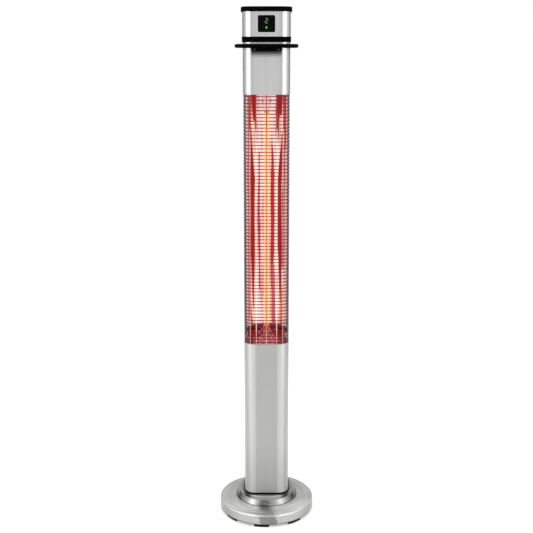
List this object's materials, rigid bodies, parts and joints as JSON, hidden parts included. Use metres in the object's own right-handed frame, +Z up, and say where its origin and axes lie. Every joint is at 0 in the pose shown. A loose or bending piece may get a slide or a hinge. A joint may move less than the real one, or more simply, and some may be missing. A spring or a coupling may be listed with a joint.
{
  "type": "infrared patio heater tower",
  "caption": "Upright infrared patio heater: rounded-square steel column on a round weighted base, wire-guarded heating tube and reflector, carry ring and display head.",
  "frame": {"origin": "middle of the footprint, on the floor that the rubber pads stand on", "axes": "+Z up the column, -Y out of the front with the display and the guard, +X to the right seen from the front"},
  "size_m": [0.26, 0.26, 1.37],
  "materials": {
    "pad_rubber": "matte moulded rubber",
    "black_steel": "black coated steel",
    "zinc_screw": "zinc plated",
    "ballast_iron": "rough cast, black paint",
    "spun_stainless": "circular brushed",
    "black_plastic": "fine moulded texture",
    "galvanised_steel": "galvanised sheet",
    "spring_steel": "bright spring steel",
    "satin_stainless": "satin, upright grain",
    "stainless_screw": "bright stainless",
    "pale_plastic": "pale insulation",
    "brushed_stainless": "brushed",
    "polished_reflector": "mirror polished",
    "chrome_wire": "bright plated",
    "quartz_glass": "clear quartz",
    "glowing_coil": "glowing",
    "end_cap_ceramic": "unglazed steatite",
    "black_powder_coat": "satin powder coat",
    "dark_screw": "black oxide",
    "rocker_plastic": "semi-gloss",
    "brass_terminal": "bright brass",
    "board_green": "solder resist",
    "relay_blue": "moulded case",
    "transformer_iron": "varnished laminations",
    "heat_sink_aluminium": "extruded",
    "dark_window": "smoked acrylic",
    "digit_green": "lit segment",
    "light_green": "lit diode"
  },
  "bodies": {
    "heater": {"rubber_feet": "pad_rubber", "base_plate": "black_steel", "base_plate_screws": "zinc_screw", "ballast_plate": "ballast_iron", "base_cover": "spun_stainless", "base_pillars": "zinc_screw", "column_bolts": "zinc_screw", "column_nuts": "zinc_screw", "foot_gasket": "black_plastic", "foot_flange": "galvanised_steel", "tip_switch_housing": "black_plastic", "tip_switch_screws": "zinc_screw", "tip_switch_spring": "spring_steel", "lower_sleeve": "satin_stainless", "rear_screws": "stainless_screw", "cable_gland_body": "black_plastic", "cable_gland_locknut": "black_plastic", "cable_gland_cap": "black_plastic", "terminal_block": "pale_plastic", "lower_bulkhead": "galvanised_steel", "upper_bulkhead": "galvanised_steel", "rear_shell": "brushed_stainless", "heat_shield": "galvanised_steel", "reflector": "polished_reflector", "shield_rivets": "galvanised_steel", "guard_wires": "chrome_wire", "guard_uprights": "chrome_wire", "guard_rails": "galvanised_steel", "rail_rivets": "stainless_screw", "quartz_tube": "quartz_glass", "heating_coil": "glowing_coil", "lower_end_cap": "end_cap_ceramic", "upper_end_cap": "end_cap_ceramic", "tube_clips": "spring_steel", "tube_clip_screws": "stainless_screw", "thermal_cutout": "black_plastic", "heater_leads": "pale_plastic", "neck_sleeve": "brushed_stainless", "carry_ring": "black_powder_coat", "ring_bracket_front": "black_powder_coat", "ring_bracket_rear": "black_powder_coat", "ring_bracket_screws": "dark_screw", "rocker_housing": "black_plastic", "rocker_terminals": "brass_terminal", "board_bracket": "galvanised_steel", "board_standoffs": "brass_terminal", "control_board": "board_green", "relay": "relay_blue", "transformer": "transformer_iron", "heat_sink": "heat_sink_aluminium", "head_band": "black_plastic", "head_shell": "brushed_stainless", "display_window": "dark_window", "display_board": "board_green", "digit_module": "black_plastic", "digit_segments": "digit_green", "power_light": "light_green", "top_cap": "black_plastic"},
    "tip_plunger": {"tip_switch_plunger": "black_plastic"},
    "power_rocker": {"rocker_paddle": "rocker_plastic"}
  },
  "joints": [
    {"name": "tip_switch_slide", "type": "slide", "parent": "heater", "child": "tip_plunger", "axis": [0, 0, -1], "range_m": [0, 0.004], "stiffness_N_per_m": 60, "springref_m": 0.006, "deforming": ["tip_switch_spring"]},
    {"name": "power_rocker_hinge", "type": "hinge", "parent": "heater", "child": "power_rocker", "pos_m": [0, 0.0598, 1.212], "axis": [1, 0, 0], "range_deg": [-16, 0]}
  ]
}
